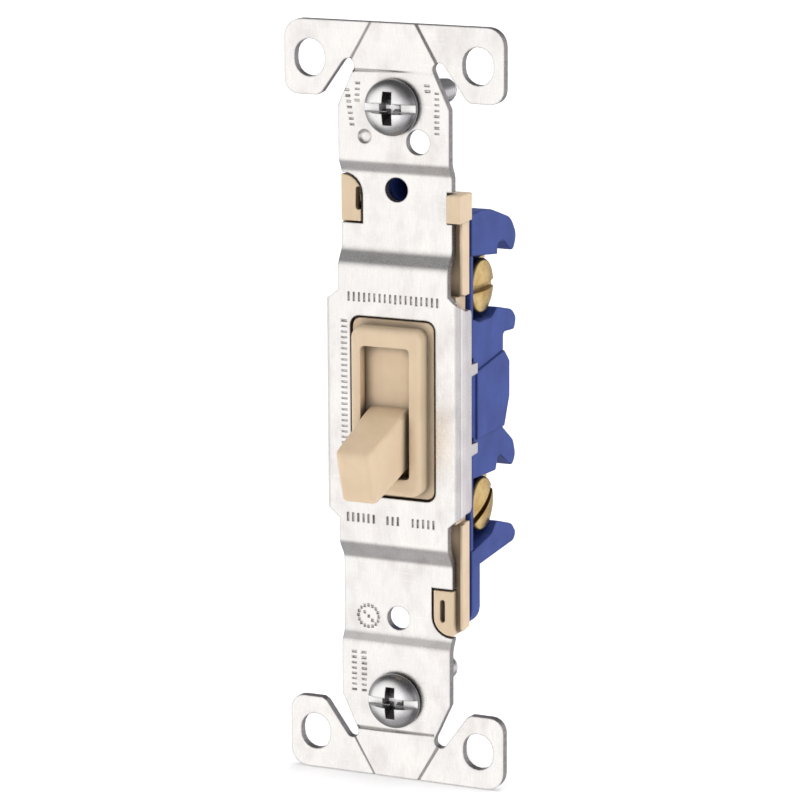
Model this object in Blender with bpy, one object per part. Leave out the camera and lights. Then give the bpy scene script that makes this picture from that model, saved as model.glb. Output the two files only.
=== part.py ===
"""Single-pole toggle wall switch: steel strap, plastic frame and base, lever, contacts and screws.

Frame: X to the right, Y into the wall, Z up. The origin is the centre of the switch, in the plane of
the plaster ears' rear faces, which is the wall's surface. Sizes below are in millimetres.
"""
import math

import bmesh
import bpy
from mathutils import Matrix, Vector

MM = 0.001
GAP = 0.3                       # clearance between pieces that touch or fit

# Strap: sheet, outline and the depths of its joggled sections (front faces)
SHEET = 1.2
STRAP_HALF_LENGTH = 53.0
STRAP_HALF_WIDTH = 8.22
EAR_HALF_WIDTH = 16.26
EAR_LOW_Z = 42.7
EAR_FRONT_Y = -SHEET
PLATE_SEAT_Y = -0.25            # section with the wall-plate holes
CENTRE_Y = -1.8                 # section around the toggle
JOGGLE_OUTER = (32.0, 34.4)
JOGGLE_INNER = (19.0, 22.4)
BOX_SCREW_Z = 41.67             # half of 83.34 mm
PLATE_SCREW_Z = 30.16           # half of 60.33 mm
BEND_X = 9.05                   # where the side flanges start to bend
BEND_R = 1.3
FLANGE_REAR_Y = 1.5
FLANGE_TOP_Z = 14.2
TAB_REAR_Y = 3.6
TAB_Z = 5.6
TAB_HALF = 0.85
OPENING_HALF = (6.4, 12.7)

# Notches in the strap's edges, and the lugs of the frame that stand in them
LUG_X = (5.35, 8.3)
LUG_Z = (25.5, 31.9)
LUG_CORNER_R = 2.6
LUG_SLOT_HALF = (0.34, 1.6)
TOP_LUG_SLOT = (-5.75, 28.7)
BOTTOM_LUG_SLOT = (6.7, -28.4)
BLOCK_X = (7.75, 9.8)
BLOCK_Z = (26.2, 30.0)

# Front frame
FRAME_REAR_Y = 3.0
COLLAR_FACE_Y = -4.6
BOSS_FACE_Y = -1.6
COLLAR_HALF = (5.2, 11.6)
SLOT_HALF = (3.6, 9.1)
ARM_ROOT_Z = 22.0
RIGHT_WALL_X = 9.4
LEFT_WALL_X = 8.8
LIP_Y = 0.6                     # front of the thin lip along the right-hand wall
LIP_SHEET = 0.5
BOSS_HALF = (6.1, 12.4)
BEARING_X = (5.3, 6.5)          # pads on either side of the skirt that hold the lever's trunnions
MIDDLE_HALF_X = 8.8             # the frame between the strap's side flanges
MIDDLE_HALF_Z = 15.9
CAVITY_CLEAR = 0.4

# Lever
PIVOT_Y = 8.8
PANEL_R = 11.5                  # from the pivot to the skirt's flat panels
PANEL_HALF_Z = 9.5
SKIRT_SHEET = 1.3
SKIRT_HALF_X = 4.2
BLADE_ROOT_R = 9.6
TIP_R = 24.2
BLADE_HALF_Z = 3.95
REST_TILT = math.radians(17.3)  # the lever rests down, in the off position
SKIRT_HALF_ANGLE = REST_TILT + math.atan2(PANEL_HALF_Z, PANEL_R)
HUB_R = 2.4
TRUNNION_R = 1.7
SOCKET_R = 1.75

# Base
BASE_FRONT_Y = FRAME_REAR_Y + GAP
BASE_BACK_Y = 15.4
BASE_FLOOR_Y = 14.4
BASE_HALF_X = 9.6
BASE_LOW_Z = -22.6
BASE_HIGH_Z = 24.9
POCKET_X = 5.9
POCKET_WALL = 0.9
FLANGE_BACK_Y = 6.2
FLANGE_END_Z = 31.5
BASE_SHEET = 1.3
LINE_Z = 15.9                   # height of the line terminal's screw
LOAD_Z = -15.0
TERMINAL_Y = 9.1
SCREW_WELL_R = 2.3              # blind well behind the upper wall-plate hole
SCREW_WELL_BACK_Y = 11.5
WIRE_HOLE_X = 2.2
WIRE_HOLE_Z = (19.0, -17.5)     # push-in wire holes in the back
WIRE_HOLE_R = 1.3
RELEASE_FROM_HOLE = (2.7, 4.0)  # where the release slot beside each wire hole starts and ends

# Rocker and contacts
ROCKER_Y = 12.2
ROCKER_SHEET = 0.8
ROCKER_TILT = math.radians(7.0)
CONTACT_Z = 7.2
CONTACT_R = 1.5
CONTACT_H = 0.6
LINE_ARM_Y = (8.1, 8.8)
LOAD_ARM_Y = (13.4, 14.1)

# Fasteners
SCREW_HEAD_R = 3.9
SCREW_HEAD_H = 2.1
SCREW_SHANK_R = 1.65
SCREW_LENGTH = 19.05
BINDING_HEAD_R = 3.9
BINDING_HEAD_X = (7.5, 9.3)
BINDING_SHANK_R = 1.8


# ---------------------------------------------------------------- materials

def material(name, colour, roughness, metallic):
    made = bpy.data.materials.new(name)
    made.use_nodes = True
    made.diffuse_color = (*colour, 1.0)
    shader = made.node_tree.nodes["Principled BSDF"]
    shader.inputs["Base Color"].default_value = (*colour, 1.0)
    shader.inputs["Roughness"].default_value = roughness
    shader.inputs["Metallic"].default_value = metallic
    return made


# ---------------------------------------------------------------- outlines (lists of 2-D points)

def arc(centre, radius, start_deg, end_deg, steps):
    points = []
    for step in range(steps + 1):
        angle = math.radians(start_deg + (end_deg - start_deg) * step / steps)
        points.append((centre[0] + radius * math.cos(angle), centre[1] + radius * math.sin(angle)))
    return points


def circle(centre, radius, steps=24):
    return arc(centre, radius, 0, 360, steps)[:-1]


def rectangle(low, high):
    return [(low[0], low[1]), (high[0], low[1]), (high[0], high[1]), (low[0], high[1])]


def rounded_rectangle(half_u, half_v, radius, steps=5):
    u = half_u - radius
    v = half_v - radius
    return (arc((u, v), radius, 0, 90, steps) + arc((-u, v), radius, 90, 180, steps)
            + arc((-u, -v), radius, 180, 270, steps) + arc((u, -v), radius, 270, 360, steps))


def slot_outline(centre, half_width, half_length, steps=10):
    """A slot with round ends, long in the second coordinate."""
    rise = half_length - half_width
    return (arc((centre[0], centre[1] + rise), half_width, 0, 180, steps)
            + arc((centre[0], centre[1] - rise), half_width, 180, 360, steps))


def rounded_outline(corners, steps=6):
    """An outline through corners (u, v, radius), each rounded by an arc of its radius, or sharp at 0."""
    points = []
    for index, (u, v, radius) in enumerate(corners):
        corner = Vector((u, v))
        if radius == 0:
            points.append((u, v))
            continue
        before = (Vector(corners[index - 1][:2]) - corner).normalized()
        after = (Vector(corners[(index + 1) % len(corners)][:2]) - corner).normalized()
        half = before.angle(after) / 2
        centre = corner + (before + after).normalized() * radius / math.sin(half)
        start = corner + before * radius / math.tan(half) - centre
        end = corner + after * radius / math.tan(half) - centre
        sweep = math.atan2(start.x * end.y - start.y * end.x, start.dot(end))
        for step in range(steps + 1):
            point = centre + Matrix.Rotation(sweep * step / steps, 2) @ start
            points.append((point.x, point.y))
    return points


def turned(points):
    """The same points after half a turn about the Y axis through the origin."""
    return [(-u, -v) for u, v in points]


def offset_strip(path, thickness):
    """Outline of a bent strip that follows a path of points on one of its faces."""
    far_side = []
    for index, point in enumerate(path):
        before = Vector(path[max(index - 1, 0)])
        after = Vector(path[min(index + 1, len(path) - 1)])
        along = (after - before).normalized()
        far_side.append((point[0] - along.y * thickness, point[1] + along.x * thickness))
    return list(path) + far_side[::-1]


# ---------------------------------------------------------------- solids

def new_object(name, shape):
    bmesh.ops.remove_doubles(shape, verts=shape.verts, dist=1e-7)
    bmesh.ops.recalc_face_normals(shape, faces=shape.faces)
    mesh = bpy.data.meshes.new(name)
    shape.to_mesh(mesh)
    shape.free()
    made = bpy.data.objects.new(name, mesh)
    bpy.context.scene.collection.objects.link(made)
    return made


def loft(sections, name="tool"):
    """A closed solid through a list of sections, each a list of (x, y, z) points in millimetres."""
    shape = bmesh.new()
    rings = [[shape.verts.new(Vector(point) * MM) for point in section] for section in sections]
    count = len(rings[0])
    for lower, upper in zip(rings, rings[1:]):
        for index in range(count):
            following = (index + 1) % count
            shape.faces.new((lower[index], lower[following], upper[following], upper[index]))
    shape.faces.new(rings[0][::-1])
    shape.faces.new(rings[-1])
    return new_object(name, shape)


def prism(outline, low, high, axis="Y", name="tool"):
    """An outline extruded along an axis: (x, z) points for Y, (y, z) for X, (x, y) for Z."""
    place = {"X": lambda u, v, w: (w, u, v), "Y": lambda u, v, w: (u, w, v), "Z": lambda u, v, w: (u, v, w)}
    return loft([[place[axis](u, v, level) for u, v in outline] for level in (low, high)], name)


def box(x, y, z, name="tool"):
    return prism(rectangle((x[0], z[0]), (x[1], z[1])), y[0], y[1], "Y", name)


def turned_solid(profile, centre, axis, steps=28, name="tool"):
    """A solid of revolution. The profile is (radius, distance along the axis) from end to end."""
    rings = []
    for radius, along in profile:
        ring = []
        for u, v in circle((0, 0), max(radius, 0.001), steps):
            point = (along, u, v) if axis == "X" else (u, along, v)
            ring.append(tuple(Vector(centre) + Vector(point)))
        rings.append(ring)
    return loft(rings, name)


def combine(target, tool, operation):
    modifier = target.modifiers.new(operation, "BOOLEAN")
    modifier.operation = operation
    modifier.solver = "EXACT"
    modifier.object = tool
    bpy.context.view_layer.update()
    depsgraph = bpy.context.evaluated_depsgraph_get()
    shaped = bpy.data.meshes.new_from_object(target.evaluated_get(depsgraph))
    target.modifiers.clear()
    target.data = shaped
    bpy.data.objects.remove(tool)


def add(target, *tools):
    for tool in tools:
        combine(target, tool, "UNION")


def cut(target, *tools):
    for tool in tools:
        combine(target, tool, "DIFFERENCE")


def turn_about_x(made, centre_y, angle):
    """Turn the mesh about a line along X, at z = 0. A positive angle lifts what is in front."""
    centre = Matrix.Translation((0, centre_y * MM, 0))
    made.data.transform(centre @ Matrix.Rotation(-angle, 4, "X") @ centre.inverted())


def finish(made, name, surface, origin=(0, 0, 0), smooth_angle=32):
    """Name the piece, move its origin to a point (its joint axis, if it moves) and give its material."""
    shape = bmesh.new()
    shape.from_mesh(made.data)
    bmesh.ops.remove_doubles(shape, verts=shape.verts, dist=2e-7)
    bmesh.ops.dissolve_degenerate(shape, edges=shape.edges, dist=1e-7)
    shape.to_mesh(made.data)
    shape.free()
    offset = Vector(origin) * MM
    made.data.transform(Matrix.Translation(-offset))
    made.location = offset
    made.name = name
    made.data.name = name
    made.data.materials.clear()
    made.data.materials.append(surface)
    made.data.shade_smooth()
    made.data.set_sharp_from_angle(angle=math.radians(smooth_angle))


# ---------------------------------------------------------------- mounting strap

def strap_ear(sign):
    """The right-hand ear's outline from the strap's end to the narrow edge. sign is 1 for the top."""
    corner = 2.5
    lower_corner = 2.0
    points = arc((EAR_HALF_WIDTH - corner, STRAP_HALF_LENGTH - corner), corner, 90, 0, 6)
    points += arc((EAR_HALF_WIDTH - lower_corner, EAR_LOW_Z + lower_corner), lower_corner, 0, -90, 5)
    points += [(11.4, EAR_LOW_Z), (10.7, EAR_LOW_Z + 0.4)]
    points += arc((6.75, 47.0), 0.95, 32, 205, 7)
    points += [(STRAP_HALF_WIDTH, 41.6)]
    return points if sign > 0 else [(x, -z) for x, z in points][::-1]


def strap_flange():
    """The right-hand side flange in the flat blank, from the upper shoulder to the lower one."""
    bend_length = (BEND_R - SHEET / 2) * math.pi / 2
    rear = BEND_X + bend_length + FLANGE_REAR_Y - CENTRE_Y - BEND_R
    tab = rear + TAB_REAR_Y - FLANGE_REAR_Y
    upper = [(STRAP_HALF_WIDTH, 16.1), (BEND_X, 15.35), (BEND_X + bend_length, FLANGE_TOP_Z)]
    upper += arc((rear - 0.8, FLANGE_TOP_Z - 0.8), 0.8, 90, 0, 3)
    upper += [(rear, TAB_Z + TAB_HALF), (tab, TAB_Z + TAB_HALF - 0.1)]
    upper += [(tab, TAB_Z - TAB_HALF + 0.1), (rear, TAB_Z - TAB_HALF)]
    return upper + [(x, -z) for x, z in upper][::-1]


def strap_side(block):
    """One long edge of the strap. The frame's block stands in a notch on the right-hand side only."""
    notch_x = LUG_X[0] - GAP
    notch_low = -LUG_Z[1] - GAP
    corner = LUG_CORNER_R + GAP
    block_notch = BLOCK_X[0] - GAP
    points = strap_ear(1)
    if block:
        points += [(STRAP_HALF_WIDTH, BLOCK_Z[1] + GAP), (block_notch, BLOCK_Z[1] + GAP)]
        points += [(block_notch, BLOCK_Z[0] - GAP), (STRAP_HALF_WIDTH, BLOCK_Z[0] - GAP)]
    points += strap_flange()
    points += [(STRAP_HALF_WIDTH, -LUG_Z[0] + GAP), (notch_x, -LUG_Z[0] + GAP)]
    points += arc((notch_x + corner, notch_low + corner), corner, 180, 270, 6)
    points += [(STRAP_HALF_WIDTH, notch_low)]
    points += strap_ear(-1)
    return points


def groove(start, end, width, depth):
    """A V-shaped cutter along a line on the blank's front face, which is at y = 0."""
    along = (Vector(end) - Vector(start)).normalized()
    across = Vector((-along.y, along.x)) * width / 2
    sections = []
    for point in (Vector(start), Vector(end)):
        left = point + across * 2
        right = point - across * 2
        sections.append([(left.x, -depth, left.y), (right.x, -depth, right.y), (point.x, depth, point.y)])
    return loft(sections)


def strap_depth(z):
    """Depth of the strap's front face at a height, through the four joggles."""
    height = abs(z)
    levels = (CENTRE_Y, PLATE_SEAT_Y, EAR_FRONT_Y)
    depth = levels[0]
    for joggle, nearer, further in zip((JOGGLE_INNER, JOGGLE_OUTER), levels, levels[1:]):
        share = min(max((height - joggle[0]) / (joggle[1] - joggle[0]), 0.0), 1.0)
        depth += (further - nearer) * (1 - math.cos(math.pi * share)) / 2
    return depth


def form_strap(made):
    """Bend the flat blank: side flanges back, then the joggles. The mesh is sliced where it bends."""
    bend_length = (BEND_R - SHEET / 2) * math.pi / 2
    shape = bmesh.new()
    shape.from_mesh(made.data)
    slices = []
    for side in (-1, 1):
        for step in range(5):
            place = BEND_X + bend_length * step / 4
            slices.append((Vector((side * place * MM, 0, 0)), (1, 0, 0)))
        for joggle in (JOGGLE_INNER, JOGGLE_OUTER):
            for step in range(7):
                height = joggle[0] + (joggle[1] - joggle[0]) * step / 6
                slices.append((Vector((0, 0, side * height * MM)), (0, 0, 1)))
    for point, normal in slices:
        everything = shape.verts[:] + shape.edges[:] + shape.faces[:]
        bmesh.ops.bisect_plane(shape, geom=everything, dist=1e-7, plane_co=point, plane_no=normal)
    for vertex in shape.verts:
        x, y, z = vertex.co / MM
        beyond = abs(x) - BEND_X
        front = strap_depth(z)
        if beyond > 1e-6 and abs(z) < JOGGLE_INNER[0]:
            angle = min(beyond / (BEND_R - SHEET / 2), math.pi / 2)
            straight = max(beyond - bend_length, 0)
            reach = BEND_R - y
            x = math.copysign(BEND_X + reach * math.sin(angle), x)
            y = BEND_R - reach * math.cos(angle) + straight
        vertex.co = Vector((x, y + front, z)) * MM
    shape.to_mesh(made.data)
    shape.free()


def mounting_strap(surface):
    outline = strap_side(block=True) + turned(strap_side(block=False))
    strap = prism(outline, 0, SHEET)
    through = (-1, SHEET + 1)
    cut(strap, prism(rounded_rectangle(*OPENING_HALF, 1.4), *through))
    cut(strap, prism(circle((3.64, 37.0), 1.72), *through))
    for side in (-1, 1):
        cut(strap, prism(circle((0, side * PLATE_SCREW_Z), 1.7), *through))
        cut(strap, prism(slot_outline((0, side * BOX_SCREW_Z), 2.1, 3.2), *through))
        cut(strap, groove((-6.0, side * 46.3), (5.8, side * 46.3), 0.7, 0.35))
        for hand in (-1, 1):
            cut(strap, prism(slot_outline((hand * 12.45, side * 47.75), 2.25, 2.6), *through))
            cut(strap, groove((hand * 6.5, side * 47.7), (hand * 3.2, side * 53.4), 0.5, 0.3))
    form_strap(strap)
    finish(strap, "mounting_strap", surface)


# ---------------------------------------------------------------- front frame

def collar():
    """The raised collar, its front edge rounded over."""
    edge = 0.8
    sections = []
    levels = [(0.0, BOSS_FACE_Y + 0.3)]
    for step in range(5):
        angle = math.radians(22.5 * step)
        levels.append((edge * (1 - math.cos(angle)), COLLAR_FACE_Y + edge * (1 - math.sin(angle))))
    for inset, y in levels:
        outline = rounded_rectangle(COLLAR_HALF[0] - inset, COLLAR_HALF[1] - inset, 1.4 - inset * 0.6)
        sections.append([(x, y, z) for x, z in outline])
    return loft(sections)


def trunnion_cutter():
    return turned_solid([(TRUNNION_R + GAP, -8), (TRUNNION_R + GAP, 8)], (0, PIVOT_Y, 0), "X")


def skirt_cavity():
    """(y, z) outline of the room the skirt swings in: flat behind the collar, round about the pivot."""
    flat = PANEL_R + GAP
    radius = math.hypot(PANEL_R, PANEL_HALF_Z) + GAP
    start = math.degrees(math.acos(flat / radius))
    return arc((PIVOT_Y, 0), radius, 180 - start, start - 180, 48)


def side_arms(edge_x):
    """(x, z) outlines of the right-hand arms: the straight upper one, and the lower one with a lug."""
    upper = rectangle((5.2, ARM_ROOT_Z - 0.5), (edge_x, BLOCK_Z[1]))
    root_x = 4.6
    corner = 1.6
    lower = [(edge_x, 0.5 - ARM_ROOT_Z), (root_x, 0.5 - ARM_ROOT_Z)]
    lower += arc((root_x + LUG_CORNER_R, LUG_CORNER_R - LUG_Z[1]), LUG_CORNER_R, 180, 270, 6)
    lower += arc((edge_x - corner, corner - LUG_Z[1]), corner, 270, 360, 5)
    return upper, lower


def front_frame(surface):
    shelf_y = PLATE_SEAT_Y + SHEET + GAP
    middle_y = (CENTRE_Y + SHEET + GAP, FRAME_REAR_Y)
    frame = box((-MIDDLE_HALF_X, MIDDLE_HALF_X), middle_y, (-MIDDLE_HALF_Z, MIDDLE_HALF_Z))
    for side in (-1, 1):
        span = sorted((side * MIDDLE_HALF_Z, side * ARM_ROOT_Z))
        add(frame, box((-LEFT_WALL_X, RIGHT_WALL_X), (shelf_y, FRAME_REAR_Y), span))
    for right, left in zip(side_arms(RIGHT_WALL_X), side_arms(LEFT_WALL_X)):
        add(frame, prism(right, shelf_y, FRAME_REAR_Y), prism(turned(left), shelf_y, FRAME_REAR_Y))
    lip_x = (RIGHT_WALL_X - LIP_SHEET, RIGHT_WALL_X)
    add(frame, box(lip_x, (LIP_Y, FRAME_REAR_Y), (MIDDLE_HALF_Z + 0.2, BLOCK_Z[1])))
    add(frame, box(lip_x, (LIP_Y, FRAME_REAR_Y), (0.8 - LUG_Z[1], -MIDDLE_HALF_Z - 0.2)))
    add(frame, prism(rectangle(*zip(BLOCK_X, BLOCK_Z)), EAR_FRONT_Y, FRAME_REAR_Y))
    lug = [(LUG_X[1], -LUG_Z[0]), (LUG_X[0], -LUG_Z[0])]
    lug += arc((LUG_X[0] + LUG_CORNER_R, -LUG_Z[1] + LUG_CORNER_R), LUG_CORNER_R, 180, 270, 6)
    lug += [(LUG_X[1], -LUG_Z[1])]
    for outline in (lug, turned(lug)):
        add(frame, prism(outline, PLATE_SEAT_Y - 0.1, FRAME_REAR_Y))
    for centre in (TOP_LUG_SLOT, BOTTOM_LUG_SLOT):
        cut(frame, prism(slot_outline(centre, *LUG_SLOT_HALF, 6), -2, 1.0))
    add(frame, prism(rounded_rectangle(*BOSS_HALF, 1.2), BOSS_FACE_Y, 0), collar())
    for side in (-1, 1):
        pad = sorted((side * BEARING_X[0], side * BEARING_X[1]))
        add(frame, box(pad, (FRAME_REAR_Y - 1, PIVOT_Y - GAP), (-2.6, 2.6)))
    cavity_half_x = SKIRT_HALF_X + CAVITY_CLEAR
    cut(frame, prism(skirt_cavity(), -cavity_half_x, cavity_half_x, "X"))
    cut(frame, prism(rounded_rectangle(*SLOT_HALF, 0.5, 3), -8, 4), trunnion_cutter())
    finish(frame, "front_frame", surface)


# ---------------------------------------------------------------- lever and its spring

def skirt_outline():
    """(y, z) outline of the skirt, upright. At either end of the travel one of its panels is parallel to
    the wall and fills the collar's slot; between the panels, under the blade, it is round."""
    outer = []
    inner = []
    steps = 36
    for step in range(steps + 1):
        angle = SKIRT_HALF_ANGLE * (2 * step / steps - 1)
        radius = PANEL_R / math.cos(max(abs(angle) - REST_TILT, 0))
        outer.append((PIVOT_Y - radius * math.cos(angle), radius * math.sin(angle)))
        radius -= SKIRT_SHEET
        inner.append((PIVOT_Y - radius * math.cos(angle), radius * math.sin(angle)))
    return outer + inner[::-1]


def lever_blade():
    """The tapered blade from inside the skirt to the rounded tip, pointing straight out."""
    sections = []
    edge = 0.95                 # the tip's rounding
    levels = [(BLADE_ROOT_R, 0.0)]
    for step in range(5):
        angle = math.radians(22.5 * step)
        levels.append((TIP_R - edge * (1 - math.sin(angle)), edge * (1 - math.cos(angle))))
    for radius, inset in levels:
        share = (radius - BLADE_ROOT_R) / (TIP_R - BLADE_ROOT_R)
        half_x = 3.2 - 0.65 * share - inset
        half_z = BLADE_HALF_Z - inset
        outline = rounded_rectangle(half_x, half_z, 0.55, 3)
        sections.append([(x, PIVOT_Y - radius, z) for x, z in outline])
    return loft(sections)


def toggle_lever(surface):
    lever = prism(skirt_outline(), -SKIRT_HALF_X, SKIRT_HALF_X, "X")
    add(lever, lever_blade())
    add(lever, box((-3.0, 3.0), (PIVOT_Y - 10.8, PIVOT_Y), (-2.9, 2.9)))
    axle = [(TRUNNION_R, -7.0), (TRUNNION_R, -5.0), (HUB_R, -5.0)]
    axle += [(HUB_R, 5.0), (TRUNNION_R, 5.0), (TRUNNION_R, 7.0)]
    add(lever, turned_solid(axle, (0, PIVOT_Y, 0), "X"))
    cut(lever, turned_solid([(SOCKET_R, -8.0), (SOCKET_R, 4.0)], (0, PIVOT_Y, 0), "Y", 20))
    turn_about_x(lever, PIVOT_Y, -REST_TILT)
    finish(lever, "toggle_lever", surface, (0, PIVOT_Y, 0))


def toggle_spring(surface):
    """A compression spring that fills the lever's socket behind the plunger."""
    coils = 8
    steps = 10 * coils
    wire = 0.22
    radius = 1.2
    low = -7.5                  # ends, measured back from the lever's pivot
    high = -1.2
    sections = []
    for step in range(steps + 1):
        angle = 2 * math.pi * coils * step / steps
        along = low + (high - low) * step / steps
        outward = Vector((math.cos(angle), 0, math.sin(angle)))
        centre = Vector((0, PIVOT_Y + along, 0)) + outward * radius
        ring = []
        for u, v in circle((0, 0), wire, 6):
            ring.append(tuple(centre + outward * u + Vector((0, v, 0))))
        sections.append(ring)
    spring = loft(sections)
    turn_about_x(spring, PIVOT_Y, -REST_TILT)
    finish(spring, "toggle_spring", surface, (0, PIVOT_Y, 0))


def toggle_plunger(surface):
    profile = [(1.4, -0.3), (1.4, 1.7), (1.3, 2.1), (1.0, 2.5), (0.5, 2.75), (0.0, 2.85)]
    plunger = turned_solid(profile, (0, PIVOT_Y, 0), "Y", 20)
    turn_about_x(plunger, PIVOT_Y, -REST_TILT)
    finish(plunger, "toggle_plunger", surface, (0, PIVOT_Y, 0))


# ---------------------------------------------------------------- rocker and contacts

def contact_rocker(surface):
    """The see-saw contact carrier. At rest its upper end leans back, away from the fixed contact."""
    half = ROCKER_SHEET / 2
    rocker = box((-2.1, 2.1), (ROCKER_Y - half, ROCKER_Y + half), (-4.0, CONTACT_Z + 1.7))
    turn_about_x(rocker, ROCKER_Y, ROCKER_TILT)
    finish(rocker, "contact_rocker", surface, (0, ROCKER_Y, 0))


def contact_button(face_y, direction):
    """A contact rivet's round head standing on a face, with a slight crown."""
    rise = CONTACT_H * direction
    profile = [(CONTACT_R, 0), (CONTACT_R, rise * 0.7), (CONTACT_R - 0.35, rise)]
    return turned_solid(profile, (0, face_y, CONTACT_Z), "Y", 20)


def moving_contact(surface):
    button = contact_button(ROCKER_Y - ROCKER_SHEET / 2 - GAP, -1)
    turn_about_x(button, ROCKER_Y, ROCKER_TILT)
    finish(button, "moving_contact", surface, (0, ROCKER_Y, 0))


def fixed_contact(surface):
    finish(contact_button(LINE_ARM_Y[1] + GAP, 1), "fixed_contact", surface)


# ---------------------------------------------------------------- terminals

def terminal_plate(low_z, high_z, screw_z, back_y):
    """The flat plate in a terminal pocket, with its tapped hole along X."""
    plate = box((6.2, 7.2), (5.2, back_y), (low_z, high_z))
    hole = [(BINDING_SHANK_R + GAP, 5), (BINDING_SHANK_R + GAP, 9)]
    cut(plate, turned_solid(hole, (0, TERMINAL_Y, screw_z), "X", 20))
    return plate


def line_terminal(surface):
    plate = terminal_plate(12.8, 19.5, LINE_Z, 13.4)
    arm = [(6.7, 12.9), (6.7, 13.8), (-2.2, 13.8), (-2.2, 5.6), (2.2, 5.6), (2.2, 12.9)]
    add(plate, prism(arm, *LINE_ARM_Y))
    finish(plate, "line_terminal", surface)


def load_terminal(surface):
    plate = terminal_plate(-18.1, -11.6, LOAD_Z, LOAD_ARM_Y[1])
    arm = [(6.7, -11.6), (6.7, -12.9), (-2.0, -12.9), (-2.0, 1.2), (2.0, 1.2), (2.0, -11.6)]
    add(plate, prism(arm, *LOAD_ARM_Y))
    bead = arc((LOAD_ARM_Y[0] + 0.1, 0), 0.6, 90, 270, 6)
    add(plate, prism(bead, -1.9, 1.9, "X"))
    finish(plate, "load_terminal", surface)


def binding_screw(name, height, slot_angle, surface):
    """A terminal screw on the right-hand side; its head faces +X."""
    inner, outer = BINDING_HEAD_X
    profile = [(BINDING_SHANK_R - 0.4, 4.2), (BINDING_SHANK_R, 4.6), (BINDING_SHANK_R, inner)]
    profile += [(BINDING_HEAD_R, inner), (BINDING_HEAD_R, outer - 0.6), (BINDING_HEAD_R - 0.5, outer - 0.15)]
    profile += [(BINDING_HEAD_R - 1.3, outer)]
    screw = turned_solid(profile, (0, TERMINAL_Y, height), "X")
    slot = prism(rectangle((-5, -0.5), (5, 0.5)), outer - 0.9, outer + 1, "X")
    slot.data.transform(Matrix.Rotation(math.radians(slot_angle), 4, "X"))
    slot.data.transform(Matrix.Translation(Vector((0, TERMINAL_Y, height)) * MM))
    cut(screw, slot)
    finish(screw, name, surface, (0, TERMINAL_Y, height))


def wire_clamp(name, hole_z, sign, surface):
    """The spring-steel leaf that grips a wire pushed in through the base's back."""
    path = [(9.3, hole_z - 2.1 * sign), (9.3, hole_z + 1.5 * sign), (9.6, hole_z + 2.1 * sign)]
    path += [(10.3, hole_z + 2.3 * sign), (13.3, hole_z + 1.4 * sign)]
    clamp = prism(offset_strip(path, 0.4 * sign), WIRE_HOLE_X - 1.2, WIRE_HOLE_X + 1.2, "X")
    finish(clamp, name, surface)


# ---------------------------------------------------------------- base

def wing_outlines():
    """(y, z) outlines of the three blocks on the right that carry the barrier wings."""
    front = BASE_FRONT_Y
    top = [(front, 21.1, 0), (front, 26.9, 0), (9.0, 26.9, 14), (17.2, 24.3, 4.5), (19.1, 21.6, 1.6)]
    top += [(17.8, 19.1, 1.1), (14.6, 21.5, 2.0), (12.3, 21.5, 0.8), (12.3, 19.9, 0)]
    middle = [(front, -10.2, 0), (front, 12.4, 0), (6.0, 11.5, 0), (10.3, 11.4, 2.0), (12.2, 12.5, 1.2)]
    middle += [(17.6, 11.2, 3.0), (19.0, 9.8, 0.9), (18.4, 8.2, 0.8), (14.4, 8.5, 0.6), (14.2, -5.0, 0.8)]
    middle += [(18.0, -7.6, 2.0), (18.9, -9.9, 1.3), (17.6, -11.4, 1.0), (12.6, -8.3, 1.0)]
    middle += [(11.8, -10.7, 0.5)]
    low = [(front, BASE_LOW_Z, 0), (front, -20.6, 0), (10.2, -19.5, 2.0), (12.0, -18.0, 0.9)]
    low += [(17.6, -19.7, 3.0), (19.1, -21.3, 0.7), (18.2, -22.3, 0.9), (6.7, -22.9, 0), (5.0, -22.9, 0)]
    return [rounded_outline(corners) for corners in (top, middle, low)]


def base_body():
    """The outer shape: housing block, wings, centre pad, screw flanges and the blind screw well."""
    base = box((-BASE_HALF_X, POCKET_X), (BASE_FRONT_Y, BASE_BACK_Y), (BASE_LOW_Z, BASE_HIGH_Z))
    for outline in wing_outlines():
        add(base, prism(outline, POCKET_X - POCKET_WALL, BASE_HALF_X, "X"))
    pad = [(4.6, -4.8), (4.6, 4.8), (14.2, 6.0), (16.0, 4.2), (16.0, -0.8), (14.2, -4.8)]
    add(base, prism(pad, BASE_HALF_X - 1, BASE_HALF_X + 0.3, "X"))
    add(base, box((POCKET_X - 1, RIGHT_WALL_X), (BASE_FRONT_Y, BASE_FRONT_Y + 1), (BASE_LOW_Z, BASE_HIGH_Z)))
    corner = 2.6
    small = 1.0
    top_flange = [(-BASE_HALF_X, 20, 0), (4.0, 20, 0), (4.0, FLANGE_END_Z, 0)]
    top_flange += [(-BASE_HALF_X, FLANGE_END_Z, corner)]
    low_flange = [(BASE_HALF_X, -20.5, 0), (4.4, -20.5, 0), (4.4, -FLANGE_END_Z, small)]
    low_flange += [(BASE_HALF_X, -FLANGE_END_Z, corner)]
    for corners in (top_flange, low_flange):
        add(base, prism(rounded_outline(corners), BASE_FRONT_Y, FLANGE_BACK_Y))
    add(base, prism(circle((0, PLATE_SCREW_Z), SCREW_WELL_R + 1, 28), BASE_FRONT_Y, SCREW_WELL_BACK_Y))
    return base


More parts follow.
